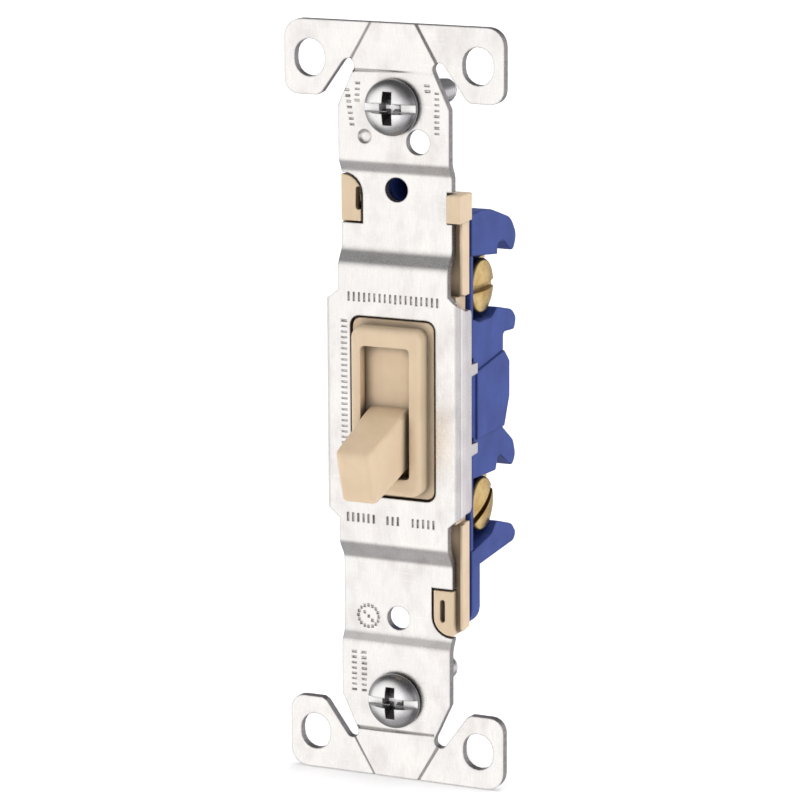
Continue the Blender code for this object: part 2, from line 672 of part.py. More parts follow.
def base_housing(surface):
    base = base_body()
    cut(base, prism(circle((0, PLATE_SCREW_Z), SCREW_WELL_R), BASE_FRONT_Y - 1, SCREW_WELL_BACK_Y - 0.9))
    hollow_x = (BASE_SHEET - BASE_HALF_X, POCKET_X - POCKET_WALL)
    cut(base, box(hollow_x, (0, BASE_FLOOR_Y), (BASE_LOW_Z + BASE_SHEET, BASE_HIGH_Z - BASE_SHEET)))
    cut(base, box((0, BASE_HALF_X - BASE_SHEET), (0, BASE_FLOOR_Y - 2), (-8.1, 10.2)))
    edge_x = BASE_HALF_X - 0.85
    tab_half = TAB_HALF + 0.35
    for side in (-1, 1):
        pad = sorted((side * BEARING_X[0], side * BEARING_X[1]))
        back_y = BASE_FLOOR_Y + 0.3 if side < 0 else 13.0
        add(base, box(pad, (PIVOT_Y, back_y), (-3.2, 3.2)))
        for tab_z in (-TAB_Z, TAB_Z):
            notch_z = (tab_z - tab_half, tab_z + tab_half)
            cut(base, box(sorted((side * edge_x, side * 12)), (0, TAB_REAR_Y + GAP), notch_z))
    cut(base, trunnion_cutter())
    for height in (LINE_Z, LOAD_Z):
        bore = [(BINDING_SHANK_R + GAP, 4), (BINDING_SHANK_R + GAP, 7)]
        cut(base, turned_solid(bore, (0, TERMINAL_Y, height), "X", 20))
    cut(base, box((4, 7), (LINE_ARM_Y[0] - GAP, LINE_ARM_Y[1] + GAP), (12.6, 14.1)))
    cut(base, box((4, 7), (LOAD_ARM_Y[0] - GAP, LOAD_ARM_Y[1] + GAP), (-13.2, -11.3)))
    through = (BASE_FLOOR_Y - 1, BASE_BACK_Y + 1)
    for height, inward in zip(WIRE_HOLE_Z, (-1, 1)):
        cut(base, prism(circle((WIRE_HOLE_X, height), WIRE_HOLE_R, 20), *through))
        release = sorted((height + inward * RELEASE_FROM_HOLE[0], height + inward * RELEASE_FROM_HOLE[1]))
        cut(base, box((WIRE_HOLE_X - 1.4, WIRE_HOLE_X + 1.4), through, release))
    finish(base, "base_housing", surface)


# ---------------------------------------------------------------- mounting screws

def mounting_screw(name, height, surface):
    """A 6-32 machine screw with a domed head that takes a flat blade or a cross-point driver."""
    seat = EAR_FRONT_Y - GAP
    profile = [(0.0, seat - SCREW_HEAD_H)]
    for step in range(1, 6):
        angle = math.radians(15 * step)
        profile.append((SCREW_HEAD_R * math.sin(angle), seat - 0.5 - (SCREW_HEAD_H - 0.5) * math.cos(angle)))
    profile += [(SCREW_HEAD_R, seat - 0.5), (SCREW_HEAD_R, seat), (SCREW_SHANK_R, seat)]
    profile += [(SCREW_SHANK_R, seat + SCREW_LENGTH - 0.6), (SCREW_SHANK_R - 0.5, seat + SCREW_LENGTH)]
    screw = turned_solid(profile, (0, 0, height), "Y")
    slot = box((-5, 5), (seat - 4, seat - SCREW_HEAD_H + 1.1), (height - 0.55, height + 0.55))
    cut(screw, slot)
    for size in ((2.1, 0.55), (0.55, 2.1)):
        top = [(x, seat - 3, z + height) for x, z in rectangle((-size[0], -size[1]), size)]
        low = [(x * 0.3, seat - 0.1, z * 0.3 + height) for x, z in rectangle((-size[0], -size[1]), size)]
        cut(screw, loft([top, low]))
    finish(screw, name, surface, (0, 0, height))


def screw_retainer(name, height, surface):
    washer = prism(circle((0, height), 3.6, 28), GAP, GAP + 0.8)
    cut(washer, prism(circle((0, height), SCREW_SHANK_R + GAP, 20), -1, 3))
    finish(washer, name, surface, (0, 0, height))


# ---------------------------------------------------------------- the whole switch

def main():
    for old in list(bpy.data.objects):
        bpy.data.objects.remove(old)
    zinc = material("zinc_steel", (0.78, 0.78, 0.79), 0.32, 1.0)
    ivory = material("ivory_plastic", (0.80, 0.62, 0.42), 0.38, 0.0)
    blue = material("blue_plastic", (0.06, 0.09, 0.42), 0.42, 0.0)
    brass = material("brass", (0.86, 0.62, 0.25), 0.28, 1.0)
    steel = material("screw_steel", (0.60, 0.60, 0.61), 0.25, 1.0)
    spring_steel = material("spring_steel", (0.45, 0.45, 0.47), 0.35, 1.0)
    silver = material("contact_silver", (0.85, 0.85, 0.84), 0.3, 1.0)
    fibre = material("red_fibre", (0.30, 0.08, 0.05), 0.8, 0.0)
    acetal = material("acetal", (0.85, 0.84, 0.80), 0.45, 0.0)

    mounting_strap(zinc)
    front_frame(ivory)
    toggle_lever(ivory)
    toggle_spring(spring_steel)
    toggle_plunger(acetal)
    base_housing(blue)
    line_terminal(brass)
    load_terminal(brass)
    contact_rocker(brass)
    moving_contact(silver)
    fixed_contact(silver)
    binding_screw("line_terminal_screw", LINE_Z, 0, brass)
    binding_screw("load_terminal_screw", LOAD_Z, 30, brass)
    wire_clamp("line_wire_clamp", WIRE_HOLE_Z[0], 1, spring_steel)
    wire_clamp("load_wire_clamp", WIRE_HOLE_Z[1], -1, spring_steel)
    for label, side in (("top", 1), ("bottom", -1)):
        mounting_screw("mounting_screw_" + label, side * BOX_SCREW_Z, steel)
        screw_retainer("screw_retainer_" + label, side * BOX_SCREW_Z, fibre)


main()
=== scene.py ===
"""Looks of the toggle wall switch: finer pieces, procedural materials, floor, light and camera.

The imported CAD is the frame: X to the right, Y into the wall, Z up. Sizes here are in millimetres.
"""

import math

import bmesh
import bpy
from mathutils import Matrix, Vector


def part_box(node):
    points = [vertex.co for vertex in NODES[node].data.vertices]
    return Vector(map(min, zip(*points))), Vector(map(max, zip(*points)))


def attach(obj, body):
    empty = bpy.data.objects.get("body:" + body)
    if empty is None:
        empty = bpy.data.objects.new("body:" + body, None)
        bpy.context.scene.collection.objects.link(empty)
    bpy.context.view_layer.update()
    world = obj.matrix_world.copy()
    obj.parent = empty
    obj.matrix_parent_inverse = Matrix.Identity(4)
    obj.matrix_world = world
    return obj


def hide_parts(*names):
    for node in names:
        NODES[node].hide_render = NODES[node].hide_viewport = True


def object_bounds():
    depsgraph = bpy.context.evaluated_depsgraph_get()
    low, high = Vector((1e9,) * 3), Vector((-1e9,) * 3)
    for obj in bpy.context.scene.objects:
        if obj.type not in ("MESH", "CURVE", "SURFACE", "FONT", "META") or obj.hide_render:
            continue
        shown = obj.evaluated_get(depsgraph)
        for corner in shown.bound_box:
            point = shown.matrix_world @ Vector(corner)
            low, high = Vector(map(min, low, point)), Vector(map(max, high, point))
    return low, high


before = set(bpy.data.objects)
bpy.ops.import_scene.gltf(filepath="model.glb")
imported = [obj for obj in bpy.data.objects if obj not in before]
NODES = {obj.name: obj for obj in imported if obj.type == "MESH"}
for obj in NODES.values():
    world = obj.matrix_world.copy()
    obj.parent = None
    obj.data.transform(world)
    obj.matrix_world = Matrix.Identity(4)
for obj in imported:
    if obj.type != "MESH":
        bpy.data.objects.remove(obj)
CAD_LOW, CAD_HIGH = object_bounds()
MM = 0.001


def size(node):
    """A CAD node's lowest and highest corner in millimetres."""
    low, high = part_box(node)
    return low / MM, high / MM


# Camera, fitted to the photograph's view
AZIMUTH_DEG = 24.41
ELEVATION_DEG = 12.54
ROLL = math.radians(-0.26)
DISTANCE = 545.5
AIM_RIGHT = 0.726
AIM_UP = 1.116
AIM_DEPTH = -1.2
SENSOR = 36.0
FOCAL_LENGTH = 178.9

# Strap: where its side flanges are (outwards of this x, and nearer the middle than this z), and its
# front face round the toggle, at the ears and at the wall-plate holes
FLANGE_X = 8.9
FLANGE_Z = 18.0
CENTRE_Y = -1.8
EAR_Y = -1.2
SEAT_Y = -0.25
MARK_DEPTH = 0.18
DIMPLE_DEPTH = 0.35

# Lever, and the spring in its socket. SPRING_START is along the lever from its pivot, towards the wall.
PIVOT_Y = 8.8
REST_TILT = math.radians(17.3)
SPRING_START = -7.4
SPRING_LENGTH = 6.1
SPRING_R = 1.2
SPRING_WIRE_R = 0.2
SPRING_COILS = 8

# Screws: all have 32 threads to the inch
SCREW_PITCH = 25.4 / 32
SCREW_CREST = 1.74
SCREW_ROOT = 1.34
SCREW_HEAD_HEIGHT = 2.1
TERMINAL_CREST = 1.85
TERMINAL_ROOT = 1.5
TERMINAL_SEAT_X = 7.5           # under the terminal screws' heads
HEAD_MARGIN = 0.1               # how far past its seat a head's look reaches


# ---------------------------------------------------------------- materials

class Surface:
    """One material under construction, with short calls for its node tree."""

    def __init__(self, name, metallic=0.0):
        self.made = bpy.data.materials.new(name)
        self.made.use_nodes = True
        self.nodes = self.made.node_tree.nodes
        self.links = self.made.node_tree.links
        self.shader = self.nodes["Principled BSDF"]
        self.shader.inputs["Metallic"].default_value = metallic
        self.place = self.node("ShaderNodeTexCoord").outputs["Object"]

    def feed(self, socket, value):
        if isinstance(value, bpy.types.NodeSocket):
            self.links.new(value, socket)
        else:
            socket.default_value = value

    def node(self, kind, inputs=(), **settings):
        made = self.nodes.new(kind)
        for key, value in settings.items():
            setattr(made, key, value)
        for socket, value in dict(inputs).items():
            self.feed(made.inputs[socket], value)
        return made

    def noise(self, size_mm, stretch=(1, 1, 1), detail=3.0, shift=0.0):
        """Soft noise, 0 to 1, with features of about this size, drawn out along each axis by stretch."""
        scale = [1 / (size_mm * MM * share) for share in stretch]
        moved = (shift, -shift, shift)
        mapped = self.node("ShaderNodeMapping", {"Vector": self.place, "Scale": scale, "Location": moved})
        inputs = {"Vector": mapped.outputs[0], "Scale": 1.0, "Detail": detail}
        return self.node("ShaderNodeTexNoise", inputs).outputs["Fac"]

    def turned_marks(self, axis, size_mm):
        """Noise that depends only on the distance from the object's own axis, as lathe marks do."""
        parts = self.node("ShaderNodeSeparateXYZ", {"Vector": self.place}).outputs
        across = [parts[name] for name in "XYZ" if name != axis]
        squares = [self.math("MULTIPLY", part, part) for part in across]
        radius = self.math("SQRT", self.math("ADD", *squares))
        inputs = {"W": radius, "Scale": 1 / (size_mm * MM), "Detail": 3.0}
        return self.node("ShaderNodeTexNoise", inputs, noise_dimensions="1D").outputs["Fac"]

    def math(self, operation, first, second=0.0):
        return self.node("ShaderNodeMath", {0: first, 1: second}, operation=operation).outputs[0]

    def remap(self, value, low, high, to_low=0.0, to_high=1.0):
        inputs = {"Value": value, "From Min": low, "From Max": high, "To Min": to_low, "To Max": to_high}
        return self.node("ShaderNodeMapRange", inputs).outputs[0]

    def mix(self, factor, first, second):
        made = self.node("ShaderNodeMix", data_type="RGBA")
        self.feed(made.inputs[0], factor)
        self.feed(made.inputs[6], first)
        self.feed(made.inputs[7], second)
        return made.outputs[2]

    def edges(self, radius_mm):
        """1 along the edges and 0 on open faces."""
        rounded = self.node("ShaderNodeBevel", {"Radius": radius_mm * MM}, samples=4).outputs[0]
        face = self.node("ShaderNodeNewGeometry").outputs["Normal"]
        dot = self.node("ShaderNodeVectorMath", {0: rounded, 1: face}, operation="DOT_PRODUCT")
        return self.remap(dot.outputs["Value"], 0.99, 0.8)

    def recess(self, reach_mm, start=0.75, full=0.15):
        """1 deep in corners and holes, and 0 on open faces."""
        occlusion = self.node("ShaderNodeAmbientOcclusion", {"Distance": reach_mm * MM}, samples=8)
        return self.remap(occlusion.outputs["AO"], start, full)

    def sheared_edge(self):
        """1 on the strap's cut edges and hole walls, and 0 on its faces, those of its side flanges too."""
        facing = self.node("ShaderNodeNewGeometry").outputs["True Normal"]
        normal = self.node("ShaderNodeSeparateXYZ", {"Vector": facing}).outputs
        place = self.node("ShaderNodeSeparateXYZ", {"Vector": self.place}).outputs
        upright = self.math("LESS_THAN", self.math("ABSOLUTE", normal["Y"]), 0.35)
        sideways = self.math("GREATER_THAN", self.math("ABSOLUTE", normal["X"]), 0.8)
        outside = self.math("GREATER_THAN", self.math("ABSOLUTE", place["X"]), FLANGE_X * MM)
        middle = self.math("LESS_THAN", self.math("ABSOLUTE", place["Z"]), FLANGE_Z * MM)
        flange = self.math("MULTIPLY", sideways, self.math("MULTIPLY", outside, middle))
        return self.math("SUBTRACT", upright, flange)

    def lean(self, axis, start, full):
        """0 where the surface faces along an axis and 1 where it leans well away from it."""
        facing = self.node("ShaderNodeNewGeometry").outputs["Normal"]
        along = self.node("ShaderNodeSeparateXYZ", {"Vector": facing}).outputs[axis]
        return self.remap(self.math("ABSOLUTE", along), start, full)

    def bump(self, height, depth_mm, below=None):
        inputs = {"Height": height, "Distance": depth_mm * MM, "Strength": 1.0}
        made = self.node("ShaderNodeBump", inputs)
        if below is not None:
            self.feed(made.inputs["Normal"], below)
        return made.outputs[0]

    def rounded_normal(self, radius_mm):
        return self.node("ShaderNodeBevel", {"Radius": radius_mm * MM}, samples=4).outputs[0]

    def finish(self, colour, roughness, normal, **constants):
        self.feed(self.shader.inputs["Base Color"], colour)
        self.feed(self.shader.inputs["Roughness"], roughness)
        self.feed(self.shader.inputs["Normal"], normal)
        for name, value in constants.items():
            self.shader.inputs[name.replace("_", " ")].default_value = value
        return self.made


def rgb(red, green, blue):
    return (red, green, blue, 1.0)


def zinc_plate():
    """Bright satin zinc on rolled steel: cloudy plating, rolling grain, scuffs, dull sheared edges
    that also carry painted shade, and painted shade in recesses and along edges.
    """
    surface = Surface("satin_zinc_plate", 1.0)
    cloud = surface.noise(5.0, detail=4.0)
    stain = surface.noise(2.6, (1, 1, 1.6), 4.0, 11.0)
    grain = surface.noise(0.11, (1, 1, 16), 2.0)
    speck = surface.noise(0.22, detail=2.0, shift=3.0)
    tear = surface.noise(0.12, (1, 9, 1), 2.0, 6.0)
    sheared = surface.sheared_edge()
    scuff = surface.remap(surface.noise(0.16, (22, 1, 2.2), 2.0, 7.0), 0.63, 0.72)
    colour = surface.mix(surface.remap(cloud, 0.3, 0.7), rgb(0.93, 0.915, 0.89), rgb(0.85, 0.84, 0.83))
    colour = surface.mix(surface.remap(stain, 0.48, 0.72, 0, 0.6), colour, rgb(0.70, 0.665, 0.65))
    colour = surface.mix(surface.remap(grain, 0.35, 0.75, 0, 0.22), colour, rgb(0.68, 0.67, 0.68))
    colour = surface.mix(surface.math("MULTIPLY", scuff, 0.25), colour, rgb(0.97, 0.97, 0.96))
    # Sheared edges and hole walls: the cut steel is dull and darker, and this darkness also stands in as
    # painted shade on the hole walls and edges.
    cut_metal_and_shade = surface.mix(surface.remap(tear, 0.35, 0.65), rgb(0.52, 0.505, 0.50), rgb(0.34, 0.33, 0.33))
    colour = surface.mix(sheared, colour, cut_metal_and_shade)
    # Painted shade: dark brown mixed in where the ambient-occlusion mask finds recesses and corners.
    colour = surface.mix(surface.math("MULTIPLY", surface.recess(1.6), 0.75), colour, rgb(0.20, 0.17, 0.15))
    # Painted shade: every edge darkened to a grey outline.
    colour = surface.mix(surface.math("MULTIPLY", surface.edges(0.34), 0.85), colour, rgb(0.36, 0.34, 0.33))
    satin = surface.remap(surface.math("ADD", grain, speck), 0.7, 1.3, 0.24, 0.38)
    roughness = surface.math("ADD", satin, surface.math("MULTIPLY", sheared, 0.18))
    normal = surface.bump(cloud, 0.02, surface.rounded_normal(0.15))
    normal = surface.bump(speck, 0.0016, normal)
    normal = surface.bump(grain, 0.0012, normal)
    return surface.finish(colour, roughness, normal)


def moulded_plastic(name, light, dark, gloss, texture_mm, translucent,
                    sheen=(0.12, 0.5), rim=(0.22, 0.3, 0.75, 0.22), hollow=(2.0, 0.84, 0.48, 0.88)):
    """Moulded plastic: uneven colour, fine spark-eroded texture, painted shade in corners, pale worn edges
    or painted dark shade on edges.

    sheen: coat weight and specular level. rim: width in mm, share, colour scale and colour lift of the
    edges; a lift gives pale worn edges, a low scale with no lift gives dark painted shade on them. hollow:
    the painted shade in corners: its reach in mm, the open shares where it starts and is full, and its
    strength.
    """
    surface = Surface(name)
    cloud = surface.noise(4.0, detail=4.0)
    texture = surface.noise(texture_mm, detail=3.0, shift=5.0)
    flow = surface.noise(0.9, (1, 1, 6), 2.0, 2.0)
    colour = surface.mix(surface.remap(cloud, 0.3, 0.7), rgb(*light), rgb(*dark))
    streak = rgb(*[channel * 0.9 for channel in dark])
    colour = surface.mix(surface.remap(flow, 0.45, 0.8, 0, 0.3), colour, streak)
    shade = rgb(*[channel * 0.3 for channel in dark])
    reach, start, full, strength = hollow
    hidden = surface.math("MULTIPLY", surface.recess(reach, start, full), strength)
    colour = surface.mix(hidden, colour, shade)
    width, share, scale, lift = rim
    # Edge colour: lifted for pale worn edges, scaled down for dark painted shade along the edges.
    edge_wear_and_shade = rgb(*[channel * scale + lift for channel in light])
    colour = surface.mix(surface.math("MULTIPLY", surface.edges(width), share), colour, edge_wear_and_shade)
    roughness = surface.remap(texture, 0.3, 0.7, gloss - 0.06, gloss + 0.08)
    normal = surface.bump(texture, 0.0035, surface.rounded_normal(0.2))
    normal = surface.bump(cloud, 0.03, normal)
    radius = (1.0 * MM, 0.6 * MM, 0.3 * MM)
    coat, specular = sheen
    return surface.finish(colour, roughness, normal, Subsurface_Weight=translucent,
                          Subsurface_Radius=radius, Subsurface_Scale=0.6, Coat_Weight=coat,
                          Coat_Roughness=0.2, Specular_IOR_Level=specular)


def turned_metal(name, axis, light, dark, roughness_low, head=None):
    """A turned metal piece: lathe marks round its axis, tarnish, painted shade in its slots, and painted
    shade on its edges and round a head's rim.

    head is where a head with painted shade on its steep rim is: a comparison and the millimetres along the
    axis to compare with.
    """
    surface = Surface(name, 1.0)
    marks = surface.turned_marks(axis, 0.09)
    cloud = surface.noise(1.6, detail=4.0)
    pit = surface.noise(0.12, detail=2.0, shift=4.0)
    colour = surface.mix(surface.remap(cloud, 0.3, 0.7), rgb(*light), rgb(*dark))
    streak = rgb(*[channel * 0.75 for channel in dark])
    colour = surface.mix(surface.remap(marks, 0.45, 0.8, 0, 0.4), colour, streak)
    # Painted shade: a very dark copy of the dark colour mixed in where the ambient-occlusion mask finds
    # slots and recesses.
    recess_shade = rgb(*[channel * 0.16 for channel in dark])
    colour = surface.mix(surface.math("MULTIPLY", surface.recess(1.2), 0.85), colour, recess_shade)
    # Painted shade: the head darkens where its surface leans away from the axis, and every edge is
    # darkened.
    rim = rgb(*[channel * 0.3 for channel in dark])
    if head:
        along = surface.node("ShaderNodeSeparateXYZ", {"Vector": surface.place}).outputs[axis]
        on_head = surface.math(head[0], along, head[1] * MM)
        steep_head_shade = surface.math("MULTIPLY", surface.lean(axis, 0.95, 0.78), on_head)
        colour = surface.mix(surface.math("MULTIPLY", steep_head_shade, 0.8), colour, rim)
    colour = surface.mix(surface.math("MULTIPLY", surface.edges(0.3), 0.6), colour, rim)
    uneven = surface.math("ADD", marks, pit)
    roughness = surface.remap(uneven, 0.7, 1.3, roughness_low, roughness_low + 0.16)
    normal = surface.bump(marks, 0.004, surface.rounded_normal(0.12))
    normal = surface.bump(pit, 0.0015, normal)
    return surface.finish(colour, roughness, normal)


def rolled_metal(name, light, dark, roughness_low):
    """Sheet metal: rolling grain up and down, uneven tarnish, and painted shade in corners."""
    surface = Surface(name, 1.0)
    grain = surface.noise(0.09, (1, 1, 12), 2.0)
    cloud = surface.noise(2.2, detail=4.0)
    colour = surface.mix(surface.remap(cloud, 0.3, 0.7), rgb(*light), rgb(*dark))
    streak = rgb(*[channel * 0.7 for channel in dark])
    colour = surface.mix(surface.remap(grain, 0.45, 0.8, 0, 0.5), colour, streak)
    # Painted shade: a dark copy of the dark colour mixed in where the ambient-occlusion mask finds corners.
    recess_shade = rgb(*[channel * 0.2 for channel in dark])
    colour = surface.mix(surface.math("MULTIPLY", surface.recess(1.2), 0.8), colour, recess_shade)
    roughness = surface.remap(grain, 0.3, 0.7, roughness_low, roughness_low + 0.15)
    normal = surface.bump(grain, 0.0015, surface.rounded_normal(0.1))
    return surface.finish(colour, roughness, normal)


def pressed_fibre():
    """Vulcanised fibre washer: matted strands in dull red."""
    surface = Surface("red_vulcanised_fibre")
    strand = surface.noise(0.07, (9, 1, 1), 3.0)
    other = surface.noise(0.07, (1, 1, 9), 3.0, 4.0)
    both = surface.math("ADD", strand, other)
    colour = surface.mix(surface.remap(both, 0.7, 1.3), rgb(0.30, 0.07, 0.04), rgb(0.16, 0.035, 0.025))
    worn = surface.math("MULTIPLY", surface.edges(0.2), 0.5)
    colour = surface.mix(worn, colour, rgb(0.45, 0.16, 0.10))
    roughness = surface.remap(both, 0.7, 1.3, 0.7, 0.9)
    return surface.finish(colour, roughness, surface.bump(both, 0.012))


# ---------------------------------------------------------------- pieces

def new_piece(name, shape, surface, body, nodes, smooth_deg=30, origin=(0, 0, 0)):
    """A bmesh, in millimetres about an origin, as a piece that rides on a body and stands for CAD nodes."""
    bmesh.ops.recalc_face_normals(shape, faces=shape.faces)
    bmesh.ops.scale(shape, vec=(MM, MM, MM), verts=shape.verts)
    mesh = bpy.data.meshes.new(name)
    shape.to_mesh(mesh)
    shape.free()
    made = bpy.data.objects.new(name, mesh)
    made.location = Vector(origin) * MM
    bpy.context.scene.collection.objects.link(made)
    dress(made, surface, smooth_deg)
    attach(made, body)
    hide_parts(*nodes)


def dress(made, surface, smooth_deg):
    made.data.materials.append(surface)
    made.data.shade_smooth()
    made.data.set_sharp_from_angle(angle=math.radians(smooth_deg))
    level = made.modifiers.new("level_normals", "WEIGHTED_NORMAL")
    level.keep_sharp = True
    level.weight = 90


def cad_shape(node):
    """A CAD node's surface as a welded bmesh in millimetres, with flat areas as single faces."""
    shape = bmesh.new()
    shape.from_mesh(NODES[node].data)
    bmesh.ops.scale(shape, vec=(1 / MM,) * 3, verts=shape.verts)
    bmesh.ops.remove_doubles(shape, verts=shape.verts, dist=0.002)
    bmesh.ops.dissolve_limit(shape, angle_limit=math.radians(0.5), verts=shape.verts, edges=shape.edges)
    return shape


def round_edges(shape, width):
    """Round the convex edges where the faces turn by more than a limit."""
    limit = math.radians(40)
    sharp = [edge for edge in shape.edges if len(edge.link_faces) == 2 and edge.is_convex
             and edge.calc_face_angle(0) > limit]
    bmesh.ops.bevel(shape, geom=sharp, offset=width, segments=2, profile=0.5, affect="EDGES",
                    clamp_overlap=False)


def ring(shape, radii, along, axis):
    """A loop of vertices round an axis, all at one place along it, with a radius for each."""
    verts = []
    for step, radius in enumerate(radii):
        angle = 2 * math.pi * step / len(radii)
        u = radius * math.cos(angle)
        v = radius * math.sin(angle)
        verts.append(shape.verts.new((along, u, v) if axis == "X" else (u, along, v)))
    return verts


def skin(shape, rings):
    """Faces between successive rings, and a face over each end."""
    for lower, upper in zip(rings, rings[1:]):
        count = len(lower)
        for index in range(count):
            following = (index + 1) % count
            shape.faces.new((lower[index], lower[following], upper[following], upper[index]))
    shape.faces.new(rings[0][::-1])
    shape.faces.new(rings[-1])


def threaded_screw(profile, axis, thread, crest, root):
    """A head profile of (radius, along) points, then a helical thread from thread[0] to thread[1]."""
    steps = 48
    shape = bmesh.new()
    rings = [ring(shape, [max(radius, 0.01)] * steps, along, axis) for radius, along in profile]
    start, end = thread
    direction = math.copysign(1, end - start)
    count = round(abs(end - start) / SCREW_PITCH * 8)
    run_out = SCREW_PITCH * 1.2
    for index in range(count + 1):
        along = start + (end - start) * index / count
        fade = min(abs(along - start) / run_out, abs(end - along) / run_out, 1.0)
        radii = []
        for step in range(steps):
            turn = (abs(along - start) / SCREW_PITCH - direction * step / steps) % 1.0
            ridge = 1 - abs(2 * turn - 1)
            radii.append(root + (crest - root) * ridge * fade)
        rings.append(ring(shape, radii, along, axis))
    rings.append(ring(shape, [root * 0.8] * steps, end + direction * 0.25, axis))
    skin(shape, rings)
    return shape


def solid_from(sections):
    """A closed solid through a list of sections, each a list of points."""
    shape = bmesh.new()
    skin(shape, [[shape.verts.new(point) for point in section] for section in sections])
    return shape


def cut_shape(shape, cutter):
    """Subtract one bmesh from another with an exact Boolean. Both are used up."""
    objects = []
    for name, source in (("cut_target", shape), ("cut_tool", cutter)):
        bmesh.ops.recalc_face_normals(source, faces=source.faces)
        mesh = bpy.data.meshes.new(name)
        source.to_mesh(mesh)
        source.free()
        made = bpy.data.objects.new(name, mesh)
        bpy.context.scene.collection.objects.link(made)
        objects.append(made)
    target, tool = objects
    modifier = target.modifiers.new("cut", "BOOLEAN")
    modifier.operation = "DIFFERENCE"
    modifier.solver = "EXACT"
    modifier.use_self = True
    modifier.object = tool
    bpy.context.view_layer.update()
    result = bpy.data.meshes.new_from_object(target.evaluated_get(bpy.context.evaluated_depsgraph_get()))
    left = bmesh.new()
    left.from_mesh(result)
    for made in objects:
        bpy.data.objects.remove(made)
    bpy.data.meshes.remove(result)
    return left


def merge(first, second):
    """Add the second bmesh to the first."""
    carrier = bpy.data.meshes.new("carrier")
    second.to_mesh(carrier)
    second.free()
    first.from_mesh(carrier)
    bpy.data.meshes.remove(carrier)


def tapered_cutter(levels, x=0.0, z=0.0):
    """A four-sided cutter along Y at a place. Each level has a y, a half width and a half height."""
    corners = ((-1, -1), (1, -1), (1, 1), (-1, 1))
    return solid_from([[(x + u * half_u, y, z + v * half_v) for u, v in corners]
                       for y, half_u, half_v in levels])


def coined_dash(x, z, half_u, half_v, face_y, depth):
    """A small pit with sloping sides, pressed into the strap's front face."""
    levels = ((face_y - depth, half_u * 1.3, half_v * 1.12), (face_y + depth, half_u * 0.55, half_v * 0.85))
    return tapered_cutter(levels, x, z)


def coined_dimple(x, z, radius, face_y, depth):
    """A shallow round dimple pressed into the strap's front face."""
    rings = []
    for share, sunk in ((1.1, -0.5), (0.95, 0.25), (0.75, 0.7), (0.4, 1.0)):
        around = []
        for step in range(24):
            angle = 2 * math.pi * step / 24
            around.append((x + radius * share * math.cos(angle), face_y + depth * sunk,
                           z + radius * share * math.sin(angle)))
        rings.append(around)
    return solid_from(rings)


def mark_line(start, step, count, half):
    """Evenly spaced marks along a line: (x, z, half_u, half_v) for each."""
    return [(start[0] + step[0] * index, start[1] + step[1] * index, *half) for index in range(count)]


def bead_ring(centre, radius, count, half):
    """Evenly spaced marks round a circle: (x, z, half_u, half_v) for each."""
    marks = []
    for index in range(count):
        angle = 2 * math.pi * index / count
        marks.append((centre[0] + radius * math.cos(angle), centre[1] + radius * math.sin(angle), *half))
    return marks


def coined_marks():
    """Plain dashes where such straps carry stamped markings: (x, z, half_u, half_v, face_y)."""
    upright = (0.16, 0.66)
    level = (0.62, 0.15)
    short = (0.48, 0.15)
    bead = (0.2, 0.2)
    pitch = 0.78
    middle = mark_line((-6.6, 15.3), (pitch, 0), 18, upright)
    middle += mark_line((-7.35, 11.8), (0, -pitch), 26, level)
    for start, count in ((-6.9, 6), (-0.9, 3), (2.9, 5)):
        middle += mark_line((start, -15.9), (pitch, 0), count, upright)
    ear = mark_line((-6.9, 43.6), (0.12, -pitch), 7, short)
    ear += mark_line((-5.3, 44.6), (-0.05, -pitch), 4, short)
    ear += mark_line((6.4, 43.8), (0, -pitch), 8, short)
    ear += mark_line((5.0, 44.8), (0.1, -pitch), 2, short)
    for start in (-6.4, -4.9):
        ear += mark_line((start, -35.4), (0, -pitch), 8, short)
    seat = bead_ring((-4.6, -30.3), 1.55, 16, bead)
    seat += mark_line((-5.2, -29.8), (0.6, -0.55), 3, bead)
    levels = ((middle, CENTRE_Y), (ear, EAR_Y), (seat, SEAT_Y))
    return [(*mark, face_y) for marks, face_y in levels for mark in marks]


def strap_piece(surface):
    """The strap, with its plain coined marks."""
    cutter = bmesh.new()
    for x, z, half_u, half_v, face_y in coined_marks():
        merge(cutter, coined_dash(x, z, half_u, half_v, face_y, MARK_DEPTH))
    merge(cutter, coined_dimple(-4.3, 37.4, 1.0, EAR_Y, DIMPLE_DEPTH))
    shape = cut_shape(cad_shape("mounting_strap"), cutter)
    bmesh.ops.remove_doubles(shape, verts=shape.verts, dist=0.001)
    new_piece("strap_plate", shape, surface, "housing", ["mounting_strap"], 25)


def domed_profile(radius, front, seat):
    """(radius, along) points of a domed screw head, from its crown to its seat and in to the shank."""
    rim = 0.5
    points = []
    for step in range(13):
        angle = math.radians(90 * step / 12)
        points.append((radius * math.sin(angle), seat - rim - (seat - front - rim) * math.cos(angle)))
    points += [(radius, seat - rim * 0.5), (radius - 0.08, seat - 0.1), (radius - 0.25, seat)]
    points += [(SCREW_ROOT + 0.3, seat), (SCREW_ROOT, seat + 0.2)]
    return points


